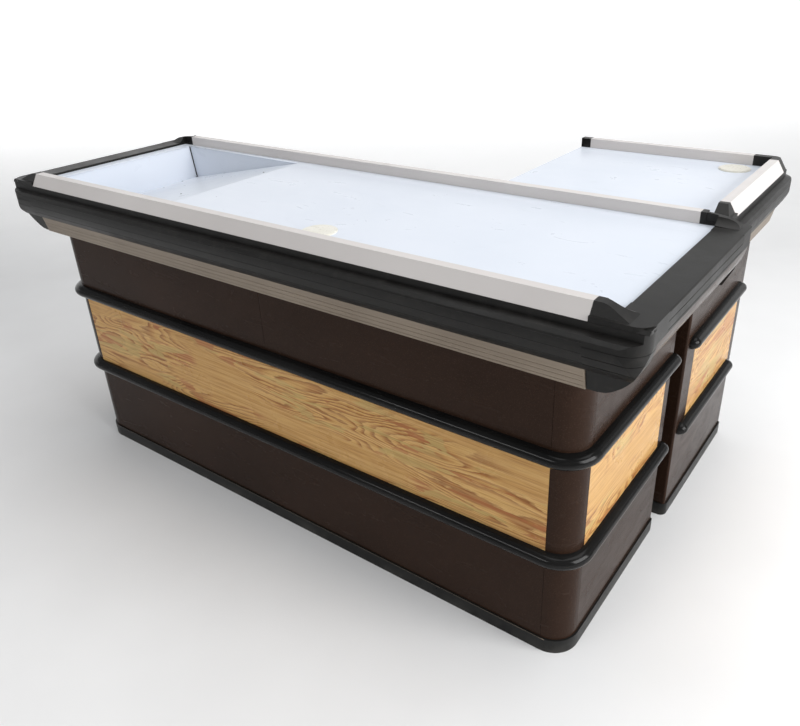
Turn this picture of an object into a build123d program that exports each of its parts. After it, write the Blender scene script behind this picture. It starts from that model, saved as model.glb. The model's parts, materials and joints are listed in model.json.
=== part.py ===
from build123d import *
import math
import os

# L-shaped retail checkout counter: a long main cabinet with a bagging tray at its left end,
# and a side cabinet behind its right end. Millimetres. Lengths below are measured from the
# main cabinet's front left corner on the floor: X along the customer's side, Y towards the
# cashier, Z up. PLACE moves that corner so that the origin is at the middle of the base.

# driving dimensions
MAIN_LENGTH = 1620.0
MAIN_DEPTH = 496.0
CORNER_RADIUS = 57.0
BODY_TOP = 684.0
TABLE_TOP = 819.0
STRIP_TOP = 825.0
RAIL_TOP = 845.0
PLINTH_HEIGHT = 35.4
PLINTH_PROUD = 4.0
BUMPER_HEIGHT = 34.0
BUMPER_REACH = 22.0
LOWER_BUMPER_TOP = 275.5
UPPER_BUMPER_TOP = 519.0
END_OVERHANG = 112.0
STRIP_INNER = 47.0
RIM_REACH = 58.0
RAIL_PAST_BODY = 10.0
INNER_DEPTH = 515.6
BACK_FACE = 540.0
TRAY_LENGTH = 482.0
TRAY_FLOOR = 720.0
TRAY_FOOT = 5.0
TRAY_BACK = 500.0

SIDE_LEFT = 1130.0
SIDE_RIGHT = 1630.0
SIDE_FRONT = 568.0
SIDE_BACK = 1043.0
SIDE_RADIUS = 6.0
SIDE_PLINTH_RADIUS = 14.0
SIDE_TABLE_LEFT = 1109.0
SIDE_RAIL_OUT = 12.0
BACK_RAIL_OUT = 20.0

# sheet, seams and fits
SHEET = 1.5
SEAM = 0.6
PAN_DEPTH = 22.0
ANGLE = 30.0
ANGLE_WALL = 3.0
FRAME_INSET = 22.0
SLIP = 0.3

DRAWER_HOLE = (609.0, 1071.0)
DRAWER_LEFT = 611.0
DRAWER_RIGHT = 1069.0
DRAWER_BOTTOM = 692.0
DRAWER_FRONT_TOP = 790.0
GROMMET_RADIUS = 40.0

BACK_RIM = SIDE_BACK + BACK_RAIL_OUT + RIM_REACH
PLACE = Pos(-MAIN_LENGTH / 2, -(BACK_RIM - RIM_REACH) / 2, 0)

LOWER_SEAM = LOWER_BUMPER_TOP - BUMPER_HEIGHT / 2
UPPER_SEAM = UPPER_BUMPER_TOP - BUMPER_HEIGHT / 2
BANDS = {
    "lower": (PLINTH_HEIGHT + SEAM, LOWER_SEAM - SEAM / 2),
    "wood": (LOWER_SEAM + SEAM / 2, UPPER_SEAM - SEAM / 2),
    "upper": (UPPER_SEAM + SEAM / 2, BODY_TOP - SEAM),
}

os.makedirs("parts", exist_ok=True)


def save(name, *solids):
    """Write one node, moved to the part's own origin."""
    pieces = []
    for shape in solids:
        pieces.extend(shape.solids())
    placed = [PLACE * piece for piece in pieces]
    export_step(placed[0] if len(placed) == 1 else Compound(children=placed), f"parts/{name}.step")


def block(x, y, z):
    """Box from three (low, high) pairs."""
    size = Box(x[1] - x[0], y[1] - y[0], z[1] - z[0])
    return Pos((x[0] + x[1]) / 2, (y[0] + y[1]) / 2, (z[0] + z[1]) / 2) * size


def prism(points, plane, length):
    """Extrude a closed polygon, drawn in a plane's own axes."""
    return extrude(plane * make_face(Polyline(*points, close=True)), length)


def mirrored(shape):
    """The same shape at the other end of the main cabinet."""
    return mirror(shape, Plane.YZ.offset(MAIN_LENGTH / 2))


def pan(side, along, z, face, depth=PAN_DEPTH, sheet=SHEET):
    """Sheet-steel panel with its edges folded back, on the front, left, right or rear."""
    inward = {"front": 1, "left": 1, "right": -1, "rear": -1}[side]
    skin = sorted((face, face + inward * depth))
    hollow = sorted((face + inward * sheet, face + inward * (depth + 1)))
    inner = (along[0] + sheet, along[1] - sheet)
    inner_z = (z[0] + sheet, z[1] - sheet)
    if side in ("front", "rear"):
        return block(along, skin, z) - block(inner, hollow, inner_z)
    return block(skin, along, z) - block(hollow, inner, inner_z)


def rounded_outline(x, y, radii):
    """Rectangle with its own corner radii: front left, front right, back right, back left."""
    low_x, high_x = x
    low_y, high_y = y
    fl, fr, br, bl = radii
    half = math.sqrt(0.5)
    edges = [Line((low_x + fl, low_y), (high_x - fr, low_y))]
    centres = (
        (high_x - fr, low_y + fr, fr, 1, -1),
        (high_x - br, high_y - br, br, 1, 1),
        (low_x + bl, high_y - bl, bl, -1, 1),
        (low_x + fl, low_y + fl, fl, -1, -1),
    )
    straights = (
        ((high_x, low_y + fr), (high_x, high_y - br)),
        ((high_x - br, high_y), (low_x + bl, high_y)),
        ((low_x, high_y - bl), (low_x, low_y + fl)),
        None,
    )
    for (cx, cy, r, sx, sy), straight in zip(centres, straights):
        start = edges[-1] @ 1
        middle = (cx + sx * r * half, cy + sy * r * half)
        if sx * sy < 0:
            end = (cx + sx * r, cy) if sx > 0 else (cx - r, cy)
        else:
            end = (cx, cy + sy * r)
        edges.append(ThreePointArc(start, middle, end))
        if straight:
            edges.append(Line(*straight))
    return make_face(edges)


def plate(face, z):
    """Flat outline raised between two heights."""
    return Pos(0, 0, z[0]) * extrude(face, z[1] - z[0])


def angle_ring(x, y, z, flat_on_top):
    """Horizontal rectangle of steel angle, as its upright and its flat legs."""
    flat_z = (z[1] - ANGLE_WALL, z[1]) if flat_on_top else (z[0], z[0] + ANGLE_WALL)
    wall_z = (z[0], z[1] - ANGLE_WALL) if flat_on_top else (z[0] + ANGLE_WALL, z[1])
    between_walls = (y[0] + ANGLE_WALL, y[1] - ANGLE_WALL)
    between_flats = (y[0] + ANGLE, y[1] - ANGLE)
    legs = []
    for low, high in ((y[0], y[0] + ANGLE_WALL), (y[1] - ANGLE_WALL, y[1])):
        legs.append(block(x, (low, high), wall_z))
    for low, high in ((x[0], x[0] + ANGLE_WALL), (x[1] - ANGLE_WALL, x[1])):
        legs.append(block((low, high), between_walls, wall_z))
    for low, high in ((y[0], y[0] + ANGLE), (y[1] - ANGLE, y[1])):
        legs.append(block(x, (low, high), flat_z))
    for low, high in ((x[0], x[0] + ANGLE), (x[1] - ANGLE, x[1])):
        legs.append(block((low, high), between_flats, flat_z))
    return legs


def corner_angle(x, y, x_side, y_side, z):
    """Upright of steel angle whose heel is at (x, y), as its two legs."""
    along_x = sorted((x, x + x_side * ANGLE))
    along_y = sorted((y + y_side * ANGLE_WALL, y + y_side * ANGLE))
    thin_x = sorted((x, x + x_side * ANGLE_WALL))
    thin_y = sorted((y, y + y_side * ANGLE_WALL))
    return [block(along_x, thin_y, z), block(thin_x, along_y, z)]


def angle_frame(x, y):
    """Base ring, head ring and four uprights of a cabinet's frame."""
    base = (PLINTH_HEIGHT, PLINTH_HEIGHT + ANGLE)
    head = (BODY_TOP - ANGLE, BODY_TOP)
    frame = angle_ring(x, y, base, True) + angle_ring(x, y, head, True)
    posts = (base[1], head[0])
    for px, sx in ((x[0], 1), (x[1], -1)):
        for py, sy in ((y[0], 1), (y[1], -1)):
            frame.extend(corner_angle(px, py, sx, sy, posts))
    return frame


# ---------------------------------------------------------------- main cabinet
def top_box(left_out, right_out):
    """Plates of the tapering box under the worktop; its back is cut out for the drawer."""
    top = TABLE_TOP - SHEET
    hole_z = (DRAWER_BOTTOM - 2, DRAWER_FRONT_TOP + 2)
    outline = [(-58, top), (left_out, BODY_TOP), (right_out, BODY_TOP), (MAIN_LENGTH + 58, top)]
    front = prism(outline, Plane.XZ, 2)
    back_plane = Plane.XZ.offset(-537)
    left = [(-58, top), (left_out, BODY_TOP), (DRAWER_HOLE[0], BODY_TOP), (DRAWER_HOLE[0], top)]
    right = [(MAIN_LENGTH + 58, top), (right_out, BODY_TOP)]
    right += [(DRAWER_HOLE[1], BODY_TOP), (DRAWER_HOLE[1], top)]
    plates = [front, prism(left, back_plane, 2), prism(right, back_plane, 2)]
    plates.append(block(DRAWER_HOLE, (535, 537), (BODY_TOP, hole_z[0])))
    plates.append(block(DRAWER_HOLE, (535, 537), (hole_z[1], top)))
    wall = prism([(-58, top), (-56, top), (left_out + 2, BODY_TOP), (left_out, BODY_TOP)], Plane.XZ, -535)
    plates.extend((wall, mirrored(wall)))
    return plates


def main_frame():
    """Frame, as plates that meet edge to edge: angles, tapering top box, drawer cheeks, beams."""
    x = (FRAME_INSET, MAIN_LENGTH - FRAME_INSET)
    plates = angle_frame(x, (FRAME_INSET, MAIN_DEPTH - 2))
    posts = (PLINTH_HEIGHT + ANGLE, BODY_TOP - ANGLE)
    plates.append(block((795, 825), (FRAME_INSET, FRAME_INSET + ANGLE_WALL), posts))
    for left in (534, 1094):
        plates.append(block((left, left + 14), (MAIN_DEPTH - 5, MAIN_DEPTH - 2), posts))
    plates.extend(top_box(-24, MAIN_LENGTH + 24))
    rim_x = (-22, MAIN_LENGTH + 22)
    rim_z = (BODY_TOP, BODY_TOP + 2)
    plates.extend((block(rim_x, (0, 40), rim_z), block(rim_x, (480, 535), rim_z)))
    for side_x in ((rim_x[0], 30), (MAIN_LENGTH - 30, rim_x[1])):
        plates.append(block(side_x, (40, 480), rim_z))
    top = TABLE_TOP - SHEET
    for cheek_x in ((606, 608), (1072, 1074)):
        plates.append(block(cheek_x, (105, 535), (rim_z[1], top)))
    for left, right in ((486, 516), (1200, 1240)):
        plates.append(block((left, right), (0, 535), (top - 2, top)))
        for side_x in ((left, left + 2), (right - 2, right)):
            plates.append(block(side_x, (0, 535), (795, top - 2)))
    return plates


def ring_plinth(x, y, radii, lip):
    """Black kick plate: a standing wall with a lip folded in under the cabinet."""
    low = PLINTH_PROUD
    outer_x = (x[0] - low, x[1] + low)
    outer_y = (y[0] - low, y[1] + low)
    outside = [r + low if r else 6.0 for r in radii]
    inside = [r - 2 for r in outside]
    wall = plate(rounded_outline(outer_x, outer_y, outside), (0, PLINTH_HEIGHT))
    hollow_x = (outer_x[0] + 2, outer_x[1] - 2)
    hollow_y = (outer_y[0] + 2, outer_y[1] - 2)
    hollow = plate(rounded_outline(hollow_x, hollow_y, inside), (-1, PLINTH_HEIGHT - 2))
    window_x = (outer_x[0] + lip, outer_x[1] - lip)
    window_y = (outer_y[0] + lip, outer_y[1] - lip)
    return wall - hollow - block(window_x, window_y, (0, PLINTH_HEIGHT + 1))


def corner_post():
    """Bent cover that rounds the front left corner, with its edges folded inwards."""
    r = CORNER_RADIUS
    z = (PLINTH_HEIGHT + SEAM, BODY_TOP - SEAM)
    tube = plate(Pos(r, r) * (Circle(r) - Circle(r - SHEET)), z)
    quarter = tube & block((-1, r), (-1, r), (0, BODY_TOP))
    return quarter + block((r - SHEET, r), (0.1, 22), z) + block((0.1, 22), (r - SHEET, r), z)


def rear_post():
    """Folded cover of the rear left corner."""
    z = (PLINTH_HEIGHT + SEAM, BODY_TOP - SEAM)
    side = block((0, SHEET), (467.3, MAIN_DEPTH), z)
    back = block((0, 52), (MAIN_DEPTH - SHEET, MAIN_DEPTH), z)
    fold = block((0, 21.8), (467.3, 467.3 + SHEET), z)
    return side + back + fold


def bumper_section():
    """Half-elliptical D section: X is the reach, Y is the height."""
    half = BUMPER_HEIGHT / 2
    outer_half = Pos(BUMPER_REACH / 2, 0) * Rectangle(BUMPER_REACH, BUMPER_HEIGHT)
    return Ellipse(BUMPER_REACH, half) & outer_half


def bumper_wrap(top):
    """Rubber bumper along the front and round both ends, with rounded tips."""
    z = top - BUMPER_HEIGHT / 2
    section = bumper_section()
    rear = 488.0
    r = CORNER_RADIUS
    front_plane = Plane((r, 0, z), x_dir=(0, -1, 0), z_dir=(-1, 0, 0))
    end_plane = Plane((0, r, z), x_dir=(-1, 0, 0), z_dir=(0, 1, 0))
    front = extrude(front_plane * section, -(MAIN_LENGTH - 2 * r))
    end = extrude(end_plane * section, rear - r)
    bend = revolve(end_plane * section, Axis((r, r, 0), (0, 0, 1)), 90)
    tip_plane = Plane((0, rear, z), x_dir=(-1, 0, 0), z_dir=(0, 1, 0))
    tip = revolve(tip_plane * section, Axis((0, rear, 0), (0, 0, -1)), 90)
    left = end + bend + tip
    return front + left + mirrored(left)


def bagging_tray():
    """Sunk tray: one long ramp, a steep left wall and two triangular side walls, with flanges."""
    fold = TRAY_LENGTH
    top = TABLE_TOP
    outer = [(-10, top), (fold, top), (fold, top - SHEET)]
    outer += [(TRAY_FOOT, TRAY_FLOOR - SHEET), (TRAY_FOOT - SHEET, TRAY_FLOOR - SHEET)]
    cavity = [(-8.5, top + 1), (fold - 1, top + 1), (fold - 1, top), (TRAY_FOOT, TRAY_FLOOR)]
    deep = (9.9, TRAY_BACK + SHEET)
    shell = prism(outer, Plane.XZ.offset(-deep[0]), -(deep[1] - deep[0]))
    shell -= prism(cavity, Plane.XZ.offset(-deep[0] - SHEET), -(deep[1] - deep[0] - 2 * SHEET))
    lip = (top - SHEET, top)
    flanges = block((-56, fold), (-20, deep[0] + SHEET), lip) + block((-56, fold), (TRAY_BACK, 534), lip)
    flanges += block((-62, -8.6), (-20, 534), lip)
    return shell + flanges


def main_worktop():
    """White steel worktop: the sheet with its cable hole, a folded hem and a stiffening rib."""
    start = TRAY_LENGTH + SLIP
    sheet = block((start, MAIN_LENGTH + 70), (-20, 534), (TABLE_TOP - SHEET, TABLE_TOP))
    sheet -= Pos(*GROMMET_MAIN, TABLE_TOP) * Cylinder(GROMMET_RADIUS - 3.7, 40)
    hem = block((start, start + SHEET), (1, 533), (TABLE_TOP - 12, TABLE_TOP - SHEET))
    rib = block((1290, 1320), (1, 533), (TABLE_TOP - 12, TABLE_TOP - SHEET))
    return sheet, hem, rib - block((1291.5, 1318.5), (0, 534), (TABLE_TOP - 13, TABLE_TOP - 3))


GROMMET_MAIN = (960.0, 67.0)
GROMMET_SIDE = (1568.0, 1004.0)


def grommet_liner(centre):
    """Flanged plastic liner of a cable hole."""
    flange = Pos(*centre, TABLE_TOP + 1.0) * Cylinder(GROMMET_RADIUS, 2.0)
    throat = Pos(*centre, TABLE_TOP - 9.0) * Cylinder(GROMMET_RADIUS - 4.0, 18.0)
    bore = Pos(*centre, TABLE_TOP) * Cylinder(GROMMET_RADIUS - 6.0, 60)
    seat = Pos(*centre, TABLE_TOP + 1.6) * Cylinder(GROMMET_RADIUS - 2.5, 2.2)
    return flange + throat - bore - seat


def grommet_cap(centre):
    """Round cap that turns in the liner's seat, with a cable notch at its rim."""
    disc = Pos(*centre, TABLE_TOP + 2.1) * Cylinder(GROMMET_RADIUS - 2.8, 2.6)
    ring = Cylinder(GROMMET_RADIUS - 6.3, 6) - Cylinder(GROMMET_RADIUS - 8.3, 8)
    skirt = Pos(*centre, TABLE_TOP - 2.2) * ring
    notch = Pos(centre[0] - GROMMET_RADIUS + 12, centre[1], TABLE_TOP) * Box(30, 24, 30)
    tongue = Pos(centre[0] - GROMMET_RADIUS + 16, centre[1], TABLE_TOP + 2.1) * Box(23, 23, 2.6)
    tongue &= Pos(*centre, TABLE_TOP + 2.1) * Cylinder(GROMMET_RADIUS - 2.8, 2.6)
    return disc + skirt - notch + tongue


# ---------------------------------------------------------------- rim profiles
def rim_plane(side, start):
    """Plane whose X points out of the counter and whose Y is up; start is where the run begins."""
    if side == "front":
        return Plane((start, 0, 0), x_dir=(0, -1, 0), z_dir=(-1, 0, 0))
    if side == "right":
        return Plane((SIDE_RIGHT + SIDE_RAIL_OUT, start, 0), x_dir=(1, 0, 0), z_dir=(0, -1, 0))
    return Plane((start, SIDE_BACK + BACK_RAIL_OUT, 0), x_dir=(0, 1, 0), z_dir=(1, 0, 0))


def rail_section(solid=False):
    """White top rail: upright inside face, flat top, outside face that leans out."""
    outer = [(0, TABLE_TOP + SLIP), (0, RAIL_TOP), (21, RAIL_TOP)]
    outer += [(39, 815.3), (24, 815.3), (24, TABLE_TOP + SLIP)]
    face = make_face(Polyline(*outer, close=True))
    if solid:
        return face
    inner = [(2, 821.3), (2, 843), (19.8, 843), (35.2, 817.3), (26, 817.3), (26, 821.3)]
    return face - make_face(Polyline(*inner, close=True))


def edge_outline(inset=0.0):
    """Black edge profile: a ledge under the rail, then a bellied face that runs in to the trim."""
    i = inset
    points = [(36.5 - i, 727 + i / 2), (33 - i, 727 + i / 2), (23 - i, BODY_TOP + i)]
    points += [(2 + i, BODY_TOP + i), (2 + i, 815 - i), (40 - i, 815 - i), (40 - i, 800 - i)]
    points += [(54 - i, 796.5 - i), (RIM_REACH - i, 789)]
    belly = ThreePointArc((RIM_REACH - i, 789), (54 - i, 756), (36.5 - i, 727 + i / 2))
    return make_face([Polyline(*points), belly])


def edge_section():
    """Hollow edge profile with raised ridges along its belly."""
    face = edge_outline() - edge_outline(3.0)
    belly = ThreePointArc((RIM_REACH, 789), (54, 756), (36.5, 727))
    for t in (0.06, 0.36, 0.68):
        spot = belly @ t
        face += Pos(spot.X - 0.4, spot.Y) * Circle(0.9)
    return face


def trim_section():
    """Metal-coloured strip clipped into the edge profile, with three fine grooves."""
    top, bottom = (36.0, 726.6), (26.2, BODY_TOP)
    points = [(33.3, 726.6), top]
    run = bottom[0] - top[0]
    drop = bottom[1] - top[1]
    for start in (0.36, 0.6, 0.84):
        for step, deep in ((0, 0), (0.004, 0.5), (0.02, 0.5), (0.024, 0)):
            along = start + step
            points.append((top[0] + run * along - deep, top[1] + drop * along))
    points += [bottom, (23.3, BODY_TOP)]
    return make_face(Polyline(*points, close=True))


def end_outline(inset=0.0, top=STRIP_TOP):
    """Outline of the counter's end, X out of the end panel: an upright edge, then a belly."""
    i = inset
    sides = [(45 - i * 0.3, 687 + i), (30, BODY_TOP + i), (0, BODY_TOP + i), (0, top - i)]
    sides += [(END_OVERHANG - i, top - i), (END_OVERHANG - i, 786)]
    toe = (45 - i * 0.3, 687 + i)
    belly = Spline((END_OVERHANG - i, 786), (108 - i, 763), (88 - i, 723 + i * 0.5), toe)
    return make_face([Polyline(*sides), belly])


def end_apron():
    """Sheet-steel apron under the right end strip."""
    sheet = extrude(Plane.XZ.offset(-2.0) * (end_outline(2.7) - end_outline(4.3)), -(535 - 2))
    sheet &= block((33, 120), (0, 540), (BODY_TOP, 795))
    foot = block((26, 34), (2, 535), (BODY_TOP + 2.2, BODY_TOP + 3.8))
    return Pos(MAIN_LENGTH, 0, 0) * (sheet + foot)


SKIRT_LINES = (790.0, 806.0)
BELLY_LINES = (742.0, 760.0, 778.0)
LINE_DEPTH = 0.8


def end_strip(y):
    """Black cover strip of the right end: flat top, inside lip, outside skirt."""
    x0 = MAIN_LENGTH + STRIP_INNER
    x1 = MAIN_LENGTH + END_OVERHANG
    bar = block((x0, x1), y, (786, STRIP_TOP))
    crown = fillet(bar.edges().filter_by(Axis.Y).group_by(Axis.Z)[-1], 3.0)
    hollow = block((x0 + 2.5, x1 - 2.5), (y[0] - 1, y[1] + 1), (700, STRIP_TOP - 2.5))
    below = block((x0 - 1, x1 - 2.5), (y[0] - 1, y[1] + 1), (700, TABLE_TOP + SLIP))
    strip = crown - hollow - below
    for z in SKIRT_LINES:
        strip -= block((x1 - 0.9, x1 + 1), (y[0] - 1, y[1] + 1), (z, z + 1.4))
    return strip


def crest_outline():
    """Face under the S-shaped crest that runs down from the rail to the end strip."""
    start = RAIL_PAST_BODY
    ends = ((1, 0), (1, 0.05))
    curve = Spline((start + 12, RAIL_TOP), (48, 838), (72, 827), (100, 821.5), tangents=ends)
    rest = [(100, 821.5), (END_OVERHANG, 822.5), (END_OVERHANG, 800), (start, 800)]
    rest += [(start, RAIL_TOP), (start + 12, RAIL_TOP)]
    return make_face([curve, Polyline(*rest)])


def cap_body(inset):
    """Rounded lower body of a front corner cap, shrunk by inset."""
    start = RAIL_PAST_BODY
    far = END_OVERHANG
    belly = extrude(rim_plane("front", far) * edge_outline(inset), far - start)
    shade = extrude(Plane.XZ.offset(RIM_REACH) * end_outline(inset), -RIM_REACH)
    edge_y = inset - RIM_REACH
    rounded = rounded_outline((-200, far - inset), (edge_y, 300), (0.5, 44 - inset, 0.5, 0.5))
    reach = block((start, far), (-RIM_REACH, -2), (BODY_TOP, STRIP_TOP))
    return belly & shade & plate(rounded, (BODY_TOP, STRIP_TOP)) & reach


def scoop(y, radius, lean):
    """Round cutter that hollows a crest above the end strip; it leans outwards in plan."""
    reach = END_OVERHANG - STRIP_INNER
    turn = Rot(0, 0, lean) * Rot(0, 90, 0)
    return Pos(STRIP_INNER + reach / 2, y, STRIP_TOP + radius) * turn * Cylinder(radius, reach * 1.3)


def front_cap():
    """Moulded black cap of the front right corner: belly, ledge, crown and S-shaped crest."""
    start = RAIL_PAST_BODY
    far = END_OVERHANG
    across = rim_plane("front", far)
    lower = cap_body(0)
    core = cap_body(LINE_DEPTH)
    for z in BELLY_LINES:
        lower -= block((start - 1, far + 1), (-RIM_REACH - 1, 0), (z, z + 1.2)) - core
    crown_plan = rounded_outline((start, far), (-39.5, 46), (0.5, 30, 0.5, 0.5))
    crown = plate(crown_plan, (812, STRIP_TOP)) - block((start - 1, STRIP_INNER), (0, 50), (700, 900))
    crown -= block((start - 1, far - 2.5), (-2, 50), (700, TABLE_TOP + SLIP))
    under_crest = extrude(Plane.XZ.offset(60) * crest_outline(), -70)
    crest = extrude(across * rail_section(True), far - start)
    crest += block((STRIP_INNER, far), (-1, 18), (STRIP_TOP - 2, RAIL_TOP))
    crest = (crest & under_crest) - scoop(22, 50, -20)
    crest &= plate(rounded_outline((-200, far), (-60, 300), (0.5, 30, 0.5, 0.5)), (800, 900))
    skirt = block((far - 2.5, far), (-2, 46), (786, 820))
    tuck = block((start - 1, 70.5), (-22, 1), (TABLE_TOP - 3, TABLE_TOP + SLIP))
    return Pos(MAIN_LENGTH, 0, 0) * (lower + crown + crest + skirt - tuck)


def back_cap():
    """Moulded black cap of the back right corner of the main counter, with an arched fin."""
    start = RAIL_PAST_BODY
    far = END_OVERHANG
    y = (470.2, BACK_FACE)
    plan = rounded_outline((start, far), y, (0.5, 0.5, 12, 0.5))
    crown = plate(plan, (786, STRIP_TOP))
    crown -= block((start - 1, STRIP_INNER), (460, INNER_DEPTH), (700, 900))
    crown -= block((start - 1, far - 2.5), (460, BACK_FACE - 2.5), (700, TABLE_TOP + SLIP))
    crown -= block((start - 1, far - 2.5), (530, BACK_FACE + 1), (700, 817.2))
    foot = (far - 16, STRIP_TOP)
    arch = Spline((start, RAIL_TOP), (start + 42, RAIL_TOP - 3), foot, tangents=((1, 0), (0.8, -1)))
    fin_face = make_face([arch, Polyline(foot, (start, STRIP_TOP), (start, RAIL_TOP))])
    near = INNER_DEPTH - 22
    block_under = extrude(Plane.XZ.offset(-near) * fin_face, near - INNER_DEPTH - 10)
    fin = block_under & block((start, far), (INNER_DEPTH + 2, INNER_DEPTH + 10), (0, 900))
    fin += block_under & block((STRIP_INNER, far), (near, INNER_DEPTH + 10), (STRIP_TOP - 2, 900))
    fin -= scoop(INNER_DEPTH - 27, 31, 12)
    root = block((start, start + 12), (INNER_DEPTH, 538), (STRIP_TOP, RAIL_TOP))
    return Pos(MAIN_LENGTH, 0, 0) * (crown + fin + root)


def back_rail():
    """White channel rail along the cashier's edge of the main counter."""
    x = (-RAIL_PAST_BODY, MAIN_LENGTH + RAIL_PAST_BODY)
    rail = block(x, (INNER_DEPTH, 538), (TABLE_TOP + SLIP, RAIL_TOP))
    return rail - block((x[0] - 1, x[1] + 1), (INNER_DEPTH + 2, 536), (800, RAIL_TOP - 2))


def back_fascia():
    """Black board behind the main counter's edge, cut out for the drawer."""
    half = [(-90, 726), (-70, BODY_TOP)]
    right = [(MAIN_LENGTH - x, z) for x, z in reversed(half)]
    far = MAIN_LENGTH + 108
    points = [(-108, 785), *half, *right, (far, 785), (far, 817), (-108, 817)]
    board = prism(points, Plane.XZ.offset(-537.2), -(BACK_FACE - 537.2))
    return board - block(DRAWER_HOLE, (530, 545), (DRAWER_BOTTOM - 2, DRAWER_FRONT_TOP + 2))


# ---------------------------------------------------------------- shelves
def main_shelves():
    """Bottom deck and middle shelf of the cashier's open side."""
    deck_z = (PLINTH_HEIGHT + ANGLE, PLINTH_HEIGHT + ANGLE + SHEET)
    deck = block((25.5, MAIN_LENGTH - 25.5), (25.5, 490.5), deck_z)
    shelf = block((551, 1093), (30, 470), (360, 380))
    shelf -= block((552.5, 1091.5), (31.5, 468.5), (350, 378.5))
    return deck, shelf


def main_dividers():
    """Upright partitions between the bays."""
    z = (PLINTH_HEIGHT + ANGLE + SHEET + SLIP, BODY_TOP - ANGLE - SLIP)
    return [block((x, x + SHEET), (26, 490), z) for x in (549, 1110)]


# ---------------------------------------------------------------- drawer
DRAWER_SIDE = (620.8, 1059.2)
SLIDE_Z = 742.0


def slide_channel(cheek, inward, member, y):
    """One member of a telescopic slide: fixed, middle or inner, against a cheek plate."""
    spans = {
        "fixed": ((0, 1.2), (0, 12), 22.5),
        "middle": ((2.5, 3.7), (2.5, 10), 19.0),
        "inner": ((11.5, 12.7), (6, 12.7), 15.0),
    }
    web, flange, half = spans[member]
    web_x = sorted(cheek + inward * s for s in web)
    flange_x = sorted(cheek + inward * s for s in flange)
    channel = block(web_x, y, (SLIDE_Z - half, SLIDE_Z + half))
    for sign in (-1, 1):
        z = sorted((SLIDE_Z + sign * half, SLIDE_Z + sign * (half - 1.2)))
        channel += block(flange_x, y, z)
    return channel


def slides(member, y):
    """Left and right member of the drawer's slides."""
    return slide_channel(608, 1, member, y), slide_channel(1072, -1, member, y)


def drawer_box():
    """Open steel box that runs on the slides."""
    z = (705, 785)
    y = (128, 536)
    outer = block(DRAWER_SIDE, y, z)
    inner = block((DRAWER_SIDE[0] + 1.2, DRAWER_SIDE[1] - 1.2), (129.2, 534.8), (706.2, 800))
    return outer - inner


def drawer_insert():
    """Cash tray: base plate, cup floors and the bars between coin cups and note bays."""
    x = (DRAWER_SIDE[0] + 2, DRAWER_SIDE[1] - 2)
    bays = 4
    bar = 4.0
    pitch = (x[1] - x[0] - bar) / bays
    pieces = [block(x, (150, 525), (706.4, 710)), block(x, (356, 519), (710, 716))]
    for y in ((150, 156), (350, 356), (519, 525)):
        pieces.append(block(x, y, (710, 752)))
    for i in range(bays + 1):
        left = x[0] + i * pitch
        pieces.append(block((left, left + bar), (156, 350), (710, 752)))
        pieces.append(block((left, left + bar), (356, 519), (716, 752)))
    return pieces


def drawer_front():
    """Folded steel front with the lock hole."""
    z = (DRAWER_BOTTOM, DRAWER_FRONT_TOP)
    front = block((DRAWER_LEFT, DRAWER_RIGHT), (536, 552), z)
    front -= block((DRAWER_LEFT + 1.5, DRAWER_RIGHT - 1.5), (537.5, 550.5), (z[0] + 1.5, z[1] - 1.5))
    front = fillet(front.edges().filter_by(Axis.X).group_by(Axis.Y)[-1], 1.0)
    return front


LOCK_X = 980.0
LOCK_Z = 766.0


def lock_bore(axis_y):
    """Clearance hole for the drawer lock."""
    return Pos(LOCK_X, axis_y, LOCK_Z) * Rot(90, 0, 0) * Cylinder(9.05, 60)


def drawer_lock():
    """Key cylinder with its cam; the slot is level when the drawer is free."""
    barrel = Pos(LOCK_X, 541.5, LOCK_Z) * Rot(90, 0, 0) * Cylinder(9.0, 23)
    rim = Pos(LOCK_X, 553.8, LOCK_Z) * Rot(90, 0, 0) * Cylinder(11.0, 2.6)
    key_slot = Pos(LOCK_X, 554.0, LOCK_Z) * Box(9, 6, 2)
    cam = block((LOCK_X - 31, LOCK_X + 6), (528.0, 530.0), (LOCK_Z - 6, LOCK_Z + 6))
    return barrel + rim + cam - key_slot


def drawer_handle():
    """Bent bar handle."""
    z = 735.0
    left, right = 776.0, 904.0
    bar = block((left, right), (574, 582), (z - 4, z + 4))
    bar += block((left, left + 8), (552, 582), (z - 4, z + 4))
    bar += block((right - 8, right), (552, 582), (z - 4, z + 4))
    return fillet(bar.edges().filter_by(Axis.Z), 2.5)


# ---------------------------------------------------------------- side cabinet
SIDE_PANEL_Y = (637.0, 1013.0)
SIDE_FRAME_X = (SIDE_LEFT + 24, SIDE_RIGHT - FRAME_INSET)
SIDE_FRAME_Y = (SIDE_FRONT + 10, SIDE_BACK - SHEET)
DOOR_Y = (584.0, 1015.0)
DOOR_Z = (80.0, 660.0)


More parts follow.
